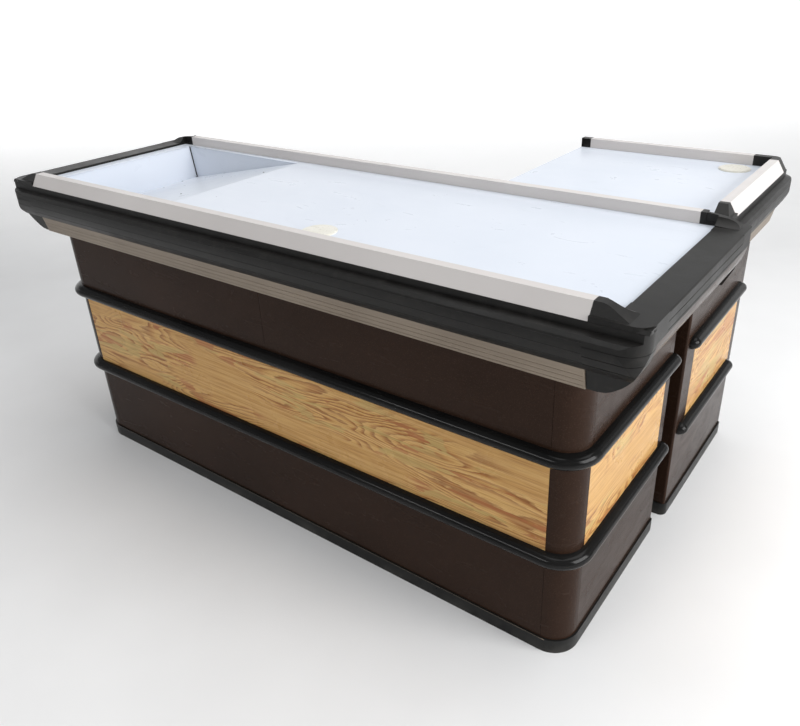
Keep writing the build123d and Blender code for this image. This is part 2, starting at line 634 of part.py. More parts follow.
def side_skin():
    """Outer sheets of the side cabinet: front wall, rounded corner, end strips, back, door jamb."""
    z = (PLINTH_HEIGHT + SEAM, BODY_TOP)
    front_y = (SIDE_FRONT, SIDE_FRONT + SHEET)
    back_y = (SIDE_BACK - SHEET, SIDE_BACK)
    right_x = (SIDE_RIGHT - SHEET, SIDE_RIGHT)
    left_x = (SIDE_LEFT, SIDE_LEFT + SHEET)
    turn = SIDE_RIGHT - SIDE_RADIUS
    centre = Pos(turn, SIDE_FRONT + SIDE_RADIUS)
    tube = plate(centre * (Circle(SIDE_RADIUS) - Circle(SIDE_RADIUS - SHEET)), z)
    corner = tube & block((turn, SIDE_RIGHT), (SIDE_FRONT, SIDE_FRONT + SIDE_RADIUS), z)
    inner_y = (front_y[1], back_y[0])
    return [
        block((SIDE_LEFT, turn), front_y, z),
        corner,
        block(right_x, (SIDE_FRONT + SIDE_RADIUS, SIDE_PANEL_Y[0]), z),
        block(right_x, (SIDE_PANEL_Y[1], back_y[0]), z),
        block((SIDE_LEFT, SIDE_RIGHT), back_y, z),
        block(left_x, (inner_y[0], DOOR_Y[0]), z),
        block(left_x, (DOOR_Y[1], inner_y[1]), z),
        block(left_x, DOOR_Y, (z[0], DOOR_Z[0])),
        block(left_x, DOOR_Y, (DOOR_Z[1], z[1])),
    ]


def side_top_box():
    """Plates of the box under the side worktop, with a bottom rim that stands on the cabinet."""
    x = (SIDE_TABLE_LEFT + 4, SIDE_RIGHT + SIDE_RAIL_OUT + 2)
    y = (542.0, SIDE_BACK + BACK_RAIL_OUT + 2)
    z = (BODY_TOP + 2, TABLE_TOP - SHEET)
    rim_z = (BODY_TOP, BODY_TOP + 2)
    window_x = (SIDE_LEFT + 40, SIDE_RIGHT - 50)
    window_y = (SIDE_FRONT + 40, SIDE_BACK - 40)
    between = (y[0] + 2, y[1] - 2)
    return [
        block(x, (y[0], y[0] + 2), z),
        block(x, (y[1] - 2, y[1]), z),
        block((x[0], x[0] + 2), between, z),
        block((x[1] - 2, x[1]), between, z),
        block(x, (y[0], window_y[0]), rim_z),
        block(x, (window_y[1], y[1]), rim_z),
        block((x[0], window_x[0]), window_y, rim_z),
        block((window_x[1], x[1]), window_y, rim_z),
    ]


def side_carcass():
    """Side cabinet's body, as sheets and angles that meet edge to edge."""
    plates = side_skin() + angle_frame(SIDE_FRAME_X, SIDE_FRAME_Y) + side_top_box()
    deck_z = (PLINTH_HEIGHT + ANGLE, PLINTH_HEIGHT + ANGLE + SHEET)
    deck_x = (SIDE_LEFT + SHEET, SIDE_FRAME_X[0])
    plates.append(block(deck_x, (SIDE_FRONT + SHEET, SIDE_BACK - SHEET), deck_z))
    inner_x = (SIDE_FRAME_X[0] + ANGLE, SIDE_FRAME_X[1] - ANGLE)
    inner_y = (SIDE_FRAME_Y[0] + ANGLE, SIDE_FRAME_Y[1] - ANGLE)
    plates.append(block(inner_x, inner_y, (PLINTH_HEIGHT + ANGLE - ANGLE_WALL, PLINTH_HEIGHT + ANGLE)))
    return plates


def side_worktop():
    """White steel top of the side cabinet, folded down along its free left edge."""
    x = (SIDE_TABLE_LEFT, SIDE_RIGHT + SIDE_RAIL_OUT + 18)
    y = (541.0, SIDE_BACK + BACK_RAIL_OUT + 18)
    sheet = block(x, y, (TABLE_TOP - SHEET, TABLE_TOP))
    hem = block((x[0], x[0] + SHEET), (541, 1060), (TABLE_TOP - 24, TABLE_TOP - SHEET))
    return sheet - Pos(*GROMMET_SIDE, TABLE_TOP) * Cylinder(GROMMET_RADIUS - 3.7, 40), hem


SIDE_FRONT_CAP_Y = 612.0
SIDE_RAIL_END_Y = 1040.0
BACK_RAIL_X = (1138.0, 1597.0)


def side_right(section):
    """A rim profile along the side cabinet's right edge."""
    return extrude(rim_plane("right", SIDE_RAIL_END_Y) * section, SIDE_RAIL_END_Y - SIDE_FRONT_CAP_Y)


def side_back(section):
    """A rim profile along the side cabinet's back edge."""
    return extrude(rim_plane("back", BACK_RAIL_X[0]) * section, BACK_RAIL_X[1] - BACK_RAIL_X[0])


def cap_solid(with_rail=True):
    """Filled section of the whole rim."""
    face = edge_outline()
    if with_rail:
        joint = [(24, 814), (39, 814), (39, 816), (24, 816)]
        face += rail_section(True) + make_face(Polyline(*joint, close=True))
    return face


def side_corner_cap():
    """Moulded cap where the right and the back edge meet."""
    x_in = SIDE_RIGHT + SIDE_RAIL_OUT
    y_in = SIDE_BACK + BACK_RAIL_OUT
    right = extrude(rim_plane("right", y_in) * cap_solid(), y_in - SIDE_RAIL_END_Y)
    back = extrude(rim_plane("back", BACK_RAIL_X[1]) * cap_solid(), x_in - BACK_RAIL_X[1])
    turn = revolve(rim_plane("back", x_in) * cap_solid(), Axis((x_in, y_in, 0), (0, 0, -1)), 90)
    outer = (x_in + RIM_REACH, y_in + RIM_REACH)
    rounded = rounded_outline((1500, outer[0]), (900, outer[1]), (0.5, 0.5, 74, 0.5))
    cap = (right + back + turn) & plate(rounded, (BODY_TOP, RAIL_TOP))
    hollow_x = (BACK_RAIL_X[1] - 1, x_in + 20)
    hollow_y = (SIDE_RAIL_END_Y - 1, y_in + 20)
    hollow = block(hollow_x, hollow_y, (600, TABLE_TOP + SLIP))
    core = block((x_in, x_in + 30), (SIDE_RAIL_END_Y - 1, y_in + 30), (BODY_TOP - 1, 812))
    core += block((BACK_RAIL_X[1] - 1, x_in + 30), (y_in, y_in + 30), (BODY_TOP - 1, 812))
    core -= block((0, x_in + 2), (0, y_in + 2), (0, 900))
    tuck = hollow & block((0, x_in + 22.5), (0, y_in + 22.5), (814, 830))
    notch = block((x_in - 1, x_in + 2.1), (y_in - 1, y_in + 2.1), (600, 818))
    return cap - tuck - core - notch


def side_end_caps():
    """Caps that close the back edge's left end and the right edge's front end."""
    left_run = BACK_RAIL_X[0] - SIDE_TABLE_LEFT - 0.1
    left = extrude(rim_plane("back", SIDE_TABLE_LEFT) * cap_solid(), left_run)
    y_in = SIDE_BACK + BACK_RAIL_OUT
    shelf = block((0, 1700), (y_in - 1, y_in + 22.5), (814.5, TABLE_TOP + SLIP))
    fin_y = (SIDE_FRONT_CAP_Y - 44, SIDE_FRONT_CAP_Y - 0.1)
    right = extrude(rim_plane("right", fin_y[1]) * cap_solid(), fin_y[1] - fin_y[0])
    shoulder = fin_y[1] - 14
    slope = [(shoulder, RAIL_TOP), (fin_y[0], STRIP_TOP - 1)]
    slope += [(fin_y[0], RAIL_TOP + 1), (shoulder, RAIL_TOP + 1)]
    right -= prism(slope, Plane.YZ.offset(1600), 120)
    foot_start = fin_y[0]
    foot = extrude(rim_plane("right", foot_start) * edge_outline(), foot_start - 541.5)
    foot -= block((1600, 1760), (500, 620), (BODY_TOP - 1, 744))
    deck_x = (SIDE_RIGHT + SIDE_RAIL_OUT - 2, SIDE_RIGHT + SIDE_RAIL_OUT + 40)
    deck = block(deck_x, (541.5, SIDE_FRONT_CAP_Y - 0.1), (TABLE_TOP + SLIP, STRIP_TOP - 1))
    deck += block((deck_x[1] - 18, deck_x[1]), (541.5, SIDE_FRONT_CAP_Y - 0.1), (812, STRIP_TOP - 1))
    x_in = SIDE_RIGHT + SIDE_RAIL_OUT
    tuck = block((x_in - 3, x_in + 22), (500, 700), (814.5, TABLE_TOP + SLIP))
    return left - shelf, right + foot + deck - tuck


def side_bumpers():
    """Two straight bumpers with rounded tips on the side cabinet's end."""
    section = bumper_section()
    y = (604.0, 992.0)
    result = []
    for top in (LOWER_BUMPER_TOP, UPPER_BUMPER_TOP):
        z = top - BUMPER_HEIGHT / 2
        start = Plane((SIDE_RIGHT, y[1], z), x_dir=(1, 0, 0), z_dir=(0, -1, 0))
        finish = Plane((SIDE_RIGHT, y[0], z), x_dir=(1, 0, 0), z_dir=(0, -1, 0))
        strip = extrude(start * section, y[1] - y[0])
        strip += revolve(start * section, Axis((SIDE_RIGHT, y[1], 0), (0, 0, 1)), 90)
        strip += revolve(finish * section, Axis((SIDE_RIGHT, y[0], 0), (0, 0, -1)), 90)
        result.append(strip)
    return result


HINGE_Y = DOOR_Y[1] - 8.0
HINGE_X = SIDE_LEFT - 5.0
HINGE_Z = (170.0, 570.0)
DOOR_FACE = SIDE_LEFT - 9.0


def side_door():
    """Steel pan door with the hinge knuckles on its back edge."""
    y = (DOOR_Y[0] + 2, HINGE_Y - 7)
    z = (DOOR_Z[0] + 2, DOOR_Z[1] - 2)
    door = block((DOOR_FACE, DOOR_FACE + 18), y, z)
    sheet = 1.2
    inside_y = (y[0] + sheet, y[1] - sheet)
    inside_z = (z[0] + sheet, z[1] - sheet)
    door -= block((DOOR_FACE + sheet, DOOR_FACE + 19), inside_y, inside_z)
    for mid in HINGE_Z:
        knuckle = Pos(HINGE_X, HINGE_Y, mid) * (Cylinder(5, 24) - Cylinder(2.55, 30))
        arm = block((HINGE_X - 1.5, HINGE_X + 1.5), (y[1] - 1.5, HINGE_Y - 3.5), (mid - 12, mid + 12))
        door += knuckle + arm
    lock_hole = Pos(DOOR_FACE, DOOR_Y[0] + 36, 400) * Rot(0, 90, 0) * Cylinder(9.05, 60)
    back_bar = block((DOOR_FACE + 1, DOOR_FACE + 2.4), (DOOR_Y[0] + 80, DOOR_Y[0] + 84), (380, 420))
    return door + back_bar - lock_hole


def hinge_leaves():
    """Fixed hinge leaves with their pins."""
    result = []
    for mid in HINGE_Z:
        pin = Pos(HINGE_X, HINGE_Y, mid) * Cylinder(2.5, 52)
        leaf = block((SIDE_LEFT - 2.0, SIDE_LEFT), (DOOR_Y[1] + 1, DOOR_Y[1] + 22), (mid - 25, mid + 25))
        for low in (mid - 26, mid + 12.4):
            ear = Pos(HINGE_X, HINGE_Y, low + 6.8) * Cylinder(5, 13.6)
            arm = block((HINGE_X - 1.5, HINGE_X + 1.5), (HINGE_Y + 3.5, DOOR_Y[1] + 6), (low, low + 13.6))
            tab = block((HINGE_X - 1.5, SIDE_LEFT), (DOOR_Y[1] + 3, DOOR_Y[1] + 6), (low, low + 12.6))
            pin += ear + arm + tab
        result.append(pin + leaf)
    return result


def door_lock():
    """Key cylinder of the door; its cam lies level inside the door until it is turned."""
    y = DOOR_Y[0] + 36
    barrel = Pos(DOOR_FACE + 11, y, 400) * Rot(0, 90, 0) * Cylinder(9.0, 30)
    rim = Pos(DOOR_FACE - 1.7, y, 400) * Rot(0, 90, 0) * Cylinder(11.0, 2.6)
    slot = Pos(DOOR_FACE - 2.0, y, 400) * Box(6, 2, 9)
    cam = block((DOOR_FACE + 24, DOOR_FACE + 26), (y - 6, y + 6), (394, 445))
    return barrel + rim + cam - slot


def door_handle():
    """Bent bar handle of the door."""
    y = DOOR_Y[0] + 60
    z = (336.0, 464.0)
    x = (DOOR_FACE - 28, DOOR_FACE)
    bar = block((x[0], x[0] + 8), (y - 4, y + 4), z)
    for end in ((z[0], z[0] + 8), (z[1] - 8, z[1])):
        bar += block(x, (y - 4, y + 4), end)
    return fillet(bar.edges().filter_by(Axis.Y), 2.5)


def side_shelf():
    """Shelf pan inside the side cabinet."""
    x = (SIDE_LEFT + 30, SIDE_RIGHT - 26)
    y = (SIDE_FRONT + 26, SIDE_BACK - 6)
    hollow = block((x[0] + SHEET, x[1] - SHEET), (y[0] + SHEET, y[1] - SHEET), (340, 370 - SHEET))
    return block(x, y, (350, 370)) - hollow


# ---------------------------------------------------------------- writing the nodes
save("main_frame", *main_frame())
plinth_radii = (CORNER_RADIUS, CORNER_RADIUS, 0, 0)
save("main_plinth", ring_plinth((0, MAIN_LENGTH), (0, MAIN_DEPTH), plinth_radii, 44))
save("corner_posts", corner_post(), mirrored(corner_post()))
save("rear_posts", rear_post(), mirrored(rear_post()))

front_span = (CORNER_RADIUS + SEAM, MAIN_LENGTH - CORNER_RADIUS - SEAM)
end_span = (CORNER_RADIUS + SEAM, 467.3 - SEAM)
middle = MAIN_LENGTH / 2
save("front_panel_lower", pan("front", front_span, BANDS["lower"], 0))
save("front_panel_wood", pan("front", front_span, BANDS["wood"], 0))
halves = ((front_span[0], middle - SEAM / 2), (middle + SEAM / 2, front_span[1]))
save("front_panels_upper", *[pan("front", half, BANDS["upper"], 0) for half in halves])
for band, z in BANDS.items():
    left_panel = pan("left", end_span, z, 0)
    save(f"end_panel_left_{band}", left_panel)
    save(f"end_panel_right_{band}", mirrored(left_panel))

save("bumper_strip_lower", bumper_wrap(LOWER_BUMPER_TOP))
save("bumper_strip_upper", bumper_wrap(UPPER_BUMPER_TOP))

save("main_worktop", *main_worktop())
save("bagging_tray", bagging_tray())
save("end_aprons", end_apron(), mirrored(end_apron()))
STRIP_RUN = (46.1, 470.1)
save("end_strip_right", end_strip(STRIP_RUN))
save("end_strip_left", mirrored(end_strip(STRIP_RUN)))
front_start = MAIN_LENGTH + RAIL_PAST_BODY
front_run = MAIN_LENGTH + 2 * RAIL_PAST_BODY
front_plane = rim_plane("front", front_start)
save("front_edge_profile", extrude(front_plane * edge_section(), front_run))
save("front_rail", extrude(front_plane * rail_section(), front_run))
save("front_trim_strip", extrude(front_plane * trim_section(), front_run))
save("back_rail", back_rail())
save("back_fascia", back_fascia())
save("corner_cap_front_right", front_cap())
save("corner_cap_front_left", mirrored(front_cap()))
save("corner_cap_back_right", back_cap())
save("corner_cap_back_left", mirrored(back_cap()))

save("shelves_and_dividers", *main_shelves(), *main_dividers())
rear_x = (1112, MAIN_LENGTH - 53)
save("rear_panel", block(rear_x, (MAIN_DEPTH - SHEET, MAIN_DEPTH), (36, 683)))

SLIDE_Y = (130.0, 530.0)
save("drawer_slides_fixed", *slides("fixed", SLIDE_Y))
save("drawer_slides_middle", *slides("middle", SLIDE_Y))
save("drawer_slides_inner", *slides("inner", SLIDE_Y))
save("drawer_box", drawer_box() - lock_bore(535))
save("drawer_insert", *drawer_insert())
save("drawer_front", drawer_front() - lock_bore(545))
save("drawer_lock", drawer_lock())
save("drawer_handle", drawer_handle())

save("side_carcass", *side_carcass())
side_x = (SIDE_LEFT, SIDE_RIGHT)
side_y = (SIDE_FRONT, SIDE_BACK)
save("side_plinth", ring_plinth(side_x, side_y, (0, SIDE_PLINTH_RADIUS, 0, 0), 50))
panel_y = (SIDE_PANEL_Y[0] + SEAM, SIDE_PANEL_Y[1] - SEAM)
for band, z in BANDS.items():
    save(f"side_panel_{band}", pan("right", panel_y, z, SIDE_RIGHT, depth=20))
save("side_bumper_strips", *side_bumpers())
save("side_worktop", *side_worktop())
save("side_right_rail", side_right(rail_section()))
save("side_back_rail", side_back(rail_section()))
save("side_edge_profiles", side_right(edge_section()), side_back(edge_section()))
save("side_trim_strips", side_right(trim_section()), side_back(trim_section()))
save("side_corner_cap", side_corner_cap())
save("side_end_caps", *side_end_caps())
save("side_shelf", side_shelf())
save("side_door", side_door())
save("side_door_handle", door_handle())
save("side_door_lock", door_lock())
save("side_door_hinges", *hinge_leaves())

save("grommet_liners", grommet_liner(GROMMET_MAIN), grommet_liner(GROMMET_SIDE))
save("grommet_cap_main", grommet_cap(GROMMET_MAIN))
save("grommet_cap_side", grommet_cap(GROMMET_SIDE))
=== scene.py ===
import json
import math

import bmesh
import bpy
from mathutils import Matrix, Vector


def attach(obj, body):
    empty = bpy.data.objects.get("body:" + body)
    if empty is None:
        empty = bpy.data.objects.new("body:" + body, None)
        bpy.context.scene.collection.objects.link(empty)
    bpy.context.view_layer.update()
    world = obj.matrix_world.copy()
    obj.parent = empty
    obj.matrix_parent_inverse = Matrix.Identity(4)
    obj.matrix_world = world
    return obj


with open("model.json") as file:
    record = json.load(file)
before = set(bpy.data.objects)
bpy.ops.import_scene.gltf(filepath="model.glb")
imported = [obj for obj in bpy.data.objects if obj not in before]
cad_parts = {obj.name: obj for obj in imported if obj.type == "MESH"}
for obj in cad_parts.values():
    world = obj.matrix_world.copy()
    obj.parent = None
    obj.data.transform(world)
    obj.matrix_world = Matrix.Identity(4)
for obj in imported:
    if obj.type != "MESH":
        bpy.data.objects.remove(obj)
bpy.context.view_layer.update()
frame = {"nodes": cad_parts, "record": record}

NODES = frame["nodes"]
MM = 0.001


# ---------------------------------------------------------------- node-graph helper
class Graph:
    """A material's node tree, with short calls for the nodes used here."""

    def __init__(self, name):
        self.material = bpy.data.materials.new(name)
        self.material.use_nodes = True
        self.tree = self.material.node_tree
        self.shader = self.tree.nodes["Principled BSDF"]
        self.coords = self.tree.nodes.new("ShaderNodeTexCoord").outputs["Object"]

    def add(self, kind, **settings):
        node = self.tree.nodes.new(kind)
        for key, value in settings.items():
            setattr(node, key, value)
        return node

    def join(self, source, target):
        self.tree.links.new(source, target)

    def feed(self, socket, value):
        """A socket takes either another socket or a plain value."""
        if isinstance(value, bpy.types.NodeSocket):
            self.join(value, socket)
        else:
            socket.default_value = value

    def scaled(self, scale, offset=(0, 0, 0)):
        """Object coordinates stretched along each axis."""
        node = self.add("ShaderNodeMapping")
        self.join(self.coords, node.inputs["Vector"])
        node.inputs["Scale"].default_value = scale
        node.inputs["Location"].default_value = offset
        return node.outputs["Vector"]

    def noise(self, vector, scale=1.0, detail=2.0, rough=0.5, distortion=0.0):
        node = self.add("ShaderNodeTexNoise")
        self.join(vector, node.inputs["Vector"])
        node.inputs["Scale"].default_value = scale
        node.inputs["Detail"].default_value = detail
        node.inputs["Roughness"].default_value = rough
        node.inputs["Distortion"].default_value = distortion
        return node.outputs["Fac"]

    def math(self, operation, a, b=0.0):
        node = self.add("ShaderNodeMath", operation=operation)
        self.feed(node.inputs[0], a)
        self.feed(node.inputs[1], b)
        return node.outputs[0]

    def split(self, vector):
        node = self.add("ShaderNodeSeparateXYZ")
        self.join(vector, node.inputs[0])
        return node.outputs

    def merge(self, x, y, z):
        node = self.add("ShaderNodeCombineXYZ")
        for socket, value in zip(node.inputs, (x, y, z)):
            self.feed(socket, value)
        return node.outputs[0]

    def remap(self, value, low, high, to_low=0.0, to_high=1.0):
        node = self.add("ShaderNodeMapRange")
        self.feed(node.inputs["Value"], value)
        node.inputs["From Min"].default_value = low
        node.inputs["From Max"].default_value = high
        node.inputs["To Min"].default_value = to_low
        node.inputs["To Max"].default_value = to_high
        return node.outputs["Result"]

    def ramp(self, value, stops):
        node = self.add("ShaderNodeValToRGB")
        elements = node.color_ramp.elements
        while len(elements) < len(stops):
            elements.new(0.5)
        for element, (place, colour) in zip(elements, stops):
            element.position = place
            element.color = (*colour, 1.0)
        self.join(value, node.inputs["Fac"])
        return node.outputs["Color"]

    def mix(self, factor, a, b):
        """Blend two colours, each a socket or three plain values."""
        node = self.add("ShaderNodeMix", data_type="RGBA")
        self.feed(node.inputs["Factor"], factor)
        for socket, value in ((node.inputs[6], a), (node.inputs[7], b)):
            if isinstance(value, tuple):
                value = (*value, 1.0)
            self.feed(socket, value)
        return node.outputs[2]

    def bump(self, height, strength, distance):
        node = self.add("ShaderNodeBump")
        node.inputs["Strength"].default_value = strength
        node.inputs["Distance"].default_value = distance
        self.join(height, node.inputs["Height"])
        return node.outputs["Normal"]

    def finish(self, colour, roughness, normal=None, **fixed):
        """Wire the shader; fixed values go straight on its sockets."""
        self.feed(self.shader.inputs["Base Color"], colour)
        self.feed(self.shader.inputs["Roughness"], roughness)
        if normal is not None:
            self.join(normal, self.shader.inputs["Normal"])
        for key, value in fixed.items():
            self.shader.inputs[key.replace("_", " ")].default_value = value
        return self.material


# ---------------------------------------------------------------- materials
COFFEE_DARK = (0.023, 0.0118, 0.0074)
COFFEE_LIGHT = (0.034, 0.0178, 0.0115)


def coffee_steel():
    """Glossy coffee-brown powder coat with a faint orange peel and a few wipe marks."""
    g = Graph("coffee steel")
    cloud = g.noise(g.scaled((1.6, 1.6, 2.4)), 2.0, 3.0)
    fleck = g.noise(g.coords, 420.0, 2.0)
    colour = g.ramp(cloud, [(0.3, COFFEE_DARK), (0.75, COFFEE_LIGHT)])
    colour = g.mix(g.remap(fleck, 0.55, 0.8), colour, (0.055, 0.032, 0.022))
    wiped = g.noise(g.scaled((3.0, 3.0, 9.0), (2.0, 1.0, 0.0)), 2.6, 4.0, 0.6, 1.2)
    dust = g.noise(g.coords, 60.0, 4.0, 0.7)
    roughness = g.remap(g.math("ADD", wiped, g.math("MULTIPLY", dust, 0.25)), 0.35, 0.95, 0.14, 0.34)
    peel = g.noise(g.coords, 260.0, 2.0)
    normal = g.bump(peel, 0.10, 0.0006)
    return g.finish(colour, roughness, normal, Specular_IOR_Level=0.07)


def facing_inwards(g, x):
    """1 on the unprinted backs of the panels, whose faces look into the cabinets."""
    nx, ny = g.split(g.add("ShaderNodeTexCoord").outputs["Normal"])[:2]
    rearward = g.math("GREATER_THAN", ny, 0.5)
    crosswise = g.math("LESS_THAN", g.math("MULTIPLY", nx, g.math("SIGN", x)), -0.5)
    return g.math("MAXIMUM", rearward, crosswise)


def woodgrain_steel():
    """Printed oak: patches of cathedral figure among fine straight grain, on coffee-brown backs."""
    g = Graph("woodgrain steel")
    x, y, z = g.split(g.coords)
    along = g.math("ADD", x, y)

    def field(stretch, shift, height, detail=2.0, rough=0.5, twist=0.0):
        place = g.merge(g.math("MULTIPLY", along, stretch), shift, g.math("MULTIPLY", z, height))
        return g.noise(place, 1.0, detail, rough, twist)

    hills = field(1.5, 0.0, 8.5, 2.0, 0.42, 0.45)
    ripple = field(12.0, 3.0, 60.0, 3.0, 0.6)
    height = g.math("ADD", hills, g.math("MULTIPLY", ripple, 0.045))
    rings = g.math("FRACT", g.math("MULTIPLY", height, 27.0))
    band = g.ramp(rings, [
        (0.00, (0.650, 0.400, 0.145)),
        (0.40, (0.600, 0.350, 0.115)),
        (0.62, (0.430, 0.190, 0.055)),
        (0.88, (0.250, 0.090, 0.026)),
        (1.00, (0.650, 0.400, 0.145)),
    ])
    figure = field(1.6, 9.0, 7.0)
    figured = g.remap(figure, 0.46, 0.50)
    plain = (0.560, 0.318, 0.105)
    colour = g.mix(g.remap(figure, 0.45, 0.50, 0.10, 1.0), plain, band)

    def patches(stretch, shift, height, low, high):
        """1 in small patches of the figured parts."""
        spots = g.remap(field(stretch, shift, height, 3.0, 0.55, 0.9), low, high)
        return g.math("MULTIPLY", spots, figured)

    red = patches(4.5, 17.0, 27.0, 0.565, 0.58)
    colour = g.mix(g.math("MULTIPLY", red, 0.9), colour, (0.400, 0.140, 0.050))
    olive = patches(4.0, 31.0, 22.0, 0.57, 0.59)
    colour = g.mix(g.math("MULTIPLY", olive, 0.8), colour, (0.500, 0.365, 0.130))
    fine = field(9.0, 5.0, 520.0, 3.0, 0.6)
    colour = g.mix(g.remap(fine, 0.48, 0.58, 0.0, 0.50), colour, (0.330, 0.145, 0.046))
    streak = field(2.5, 12.0, 150.0)
    colour = g.mix(g.remap(streak, 0.42, 0.62, 0.0, 0.35), colour, (0.760, 0.500, 0.215))
    colour = g.mix(facing_inwards(g, x), colour, COFFEE_LIGHT)
    smear = g.noise(g.coords, 9.0, 4.0, 0.6)
    roughness = g.remap(smear, 0.3, 0.7, 0.24, 0.36)
    normal = g.bump(fine, 0.05, 0.0003)
    return g.finish(colour, roughness, normal, Specular_IOR_Level=0.18)


def white_steel():
    """White powder coat of the tops: faint bluish cast, wipe marks and small dark nicks."""
    g = Graph("white steel")
    cloud = g.noise(g.scaled((1.2, 1.2, 1.2)), 2.2, 3.0)
    colour = g.ramp(cloud, [(0.25, (0.610, 0.655, 0.725)), (0.75, (0.665, 0.700, 0.765))])
    smudge = g.noise(g.scaled((6.0, 14.0, 6.0), (1.3, 0.0, 0.0)), 1.0, 5.0, 0.65, 1.5)
    colour = g.mix(g.remap(smudge, 0.62, 0.80, 0.0, 0.22), colour, (0.46, 0.47, 0.48))
    nicks = g.noise(g.scaled((60.0, 60.0, 60.0), (4.0, 2.0, 0.0)), 1.0, 3.0, 0.7)
    colour = g.mix(g.remap(nicks, 0.80, 0.82, 0.0, 0.6), colour, (0.10, 0.10, 0.11))
    roughness = g.remap(smudge, 0.3, 0.8, 0.26, 0.42)
    peel = g.noise(g.coords, 330.0, 2.0)
    normal = g.bump(peel, 0.06, 0.0004)
    return g.finish(colour, roughness, normal, Specular_IOR_Level=0.20)


def white_profile():
    """Warm white rail: satin, with faint lengthwise draw lines and grime near its foot."""
    g = Graph("white profile")
    cloud = g.noise(g.coords, 3.0, 3.0)
    colour = g.ramp(cloud, [(0.3, (0.560, 0.530, 0.515)), (0.7, (0.620, 0.592, 0.575))])
    grime = g.noise(g.scaled((4.0, 4.0, 60.0)), 1.0, 4.0, 0.6)
    colour = g.mix(g.remap(grime, 0.60, 0.80, 0.0, 0.18), colour, (0.40, 0.37, 0.34))
    roughness = g.remap(g.noise(g.coords, 26.0, 4.0, 0.6), 0.3, 0.7, 0.28, 0.40)
    normal = g.bump(g.noise(g.scaled((2.0, 2.0, 900.0)), 1.0, 2.0), 0.05, 0.0003)
    return g.finish(colour, roughness, normal, Specular_IOR_Level=0.25)


def black_plastic():
    """Black moulding: satin, dusty greys, thumb smudges and a fine grain."""
    g = Graph("black plastic")
    cloud = g.noise(g.scaled((4.0, 4.0, 4.0)), 1.6, 4.0, 0.6, 0.8)
    colour = g.ramp(cloud, [(0.35, (0.0060, 0.0055, 0.0050)), (0.75, (0.0125, 0.0118, 0.0108))])
    dust = g.noise(g.coords, 38.0, 5.0, 0.65, 0.5)
    colour = g.mix(g.remap(dust, 0.50, 0.80, 0.0, 0.35), colour, (0.040, 0.037, 0.033))
    roughness = g.remap(g.math("ADD", cloud, g.math("MULTIPLY", dust, 0.5)), 0.45, 1.1, 0.30, 0.50)
    grain = g.noise(g.coords, 900.0, 2.0)
    normal = g.bump(grain, 0.12, 0.0004)
    return g.finish(colour, roughness, normal, Specular_IOR_Level=0.22)


def black_rubber():
    """Glossy black bumper with scuffs along its crown."""
    g = Graph("black rubber")
    cloud = g.noise(g.scaled((3.0, 3.0, 12.0)), 1.6, 3.0)
    colour = g.ramp(cloud, [(0.3, (0.006, 0.006, 0.006)), (0.7, (0.012, 0.0115, 0.011))])
    scuff = g.noise(g.scaled((9.0, 9.0, 160.0)), 1.0, 4.0, 0.65)
    colour = g.mix(g.remap(scuff, 0.62, 0.78, 0.0, 0.4), colour, (0.035, 0.033, 0.030))
    roughness = g.remap(scuff, 0.35, 0.75, 0.10, 0.22)
    normal = g.bump(g.noise(g.coords, 120.0, 3.0), 0.06, 0.0005)
    return g.finish(colour, roughness, normal, Specular_IOR_Level=0.16)


def trim_metal():
    """Champagne strip with fine lines drawn along it."""
    g = Graph("trim metal")
    lines = g.noise(g.scaled((3.0, 3.0, 1500.0)), 1.0, 2.0)
    cloud = g.noise(g.coords, 5.0, 3.0)
    colour = g.ramp(cloud, [(0.3, (0.225, 0.180, 0.135)), (0.7, (0.285, 0.232, 0.178))])
    colour = g.mix(g.remap(lines, 0.45, 0.75, 0.0, 0.35), colour, (0.12, 0.095, 0.070))
    roughness = g.remap(lines, 0.3, 0.7, 0.34, 0.48)
    normal = g.bump(lines, 0.12, 0.0003)
    return g.finish(colour, roughness, normal, Metallic=0.35)


def frame_steel():
    """Black powder-coated sheet inside and under the counter."""
    g = Graph("frame steel")
    cloud = g.noise(g.coords, 4.0, 4.0)
    colour = g.ramp(cloud, [(0.3, (0.014, 0.0125, 0.0115)), (0.7, (0.024, 0.0215, 0.0195))])
    speck = g.noise(g.coords, 300.0, 2.0)
    colour = g.mix(g.remap(speck, 0.58, 0.78, 0.0, 0.5), colour, (0.05, 0.047, 0.043))
    roughness = g.remap(cloud, 0.3, 0.7, 0.36, 0.50)
    return g.finish(colour, roughness, g.bump(speck, 0.12, 0.0005), Specular_IOR_Level=0.15)


def plinth_black():
    """Kick plate: black, dusty and scuffed near the floor."""
    g = Graph("plinth black")
    z = g.split(g.coords)[2]
    cloud = g.noise(g.coords, 14.0, 5.0, 0.65)
    colour = g.ramp(cloud, [(0.3, (0.0085, 0.0085, 0.0080)), (0.7, (0.017, 0.017, 0.016))])
    low = g.remap(z, 0.0, 0.03, 1.0, 0.0)
    dusty = g.math("MULTIPLY", low, g.remap(cloud, 0.40, 0.70))
    colour = g.mix(g.math("MULTIPLY", dusty, 0.5), colour, (0.10, 0.095, 0.085))
    roughness = g.remap(cloud, 0.3, 0.7, 0.26, 0.46)
    normal = g.bump(g.noise(g.coords, 240.0, 2.0), 0.10, 0.0005)
    return g.finish(colour, roughness, normal, Specular_IOR_Level=0.15)


def bright_steel():
    """Zinc-plated steel with brushed streaks."""
    g = Graph("bright steel")
    streak = g.noise(g.scaled((600.0, 40.0, 600.0)), 1.0, 2.0)
    colour = g.ramp(streak, [(0.3, (0.48, 0.48, 0.49)), (0.7, (0.66, 0.66, 0.67))])
    roughness = g.remap(streak, 0.3, 0.7, 0.20, 0.38)
    return g.finish(colour, roughness, g.bump(streak, 0.08, 0.0002), Metallic=1.0)


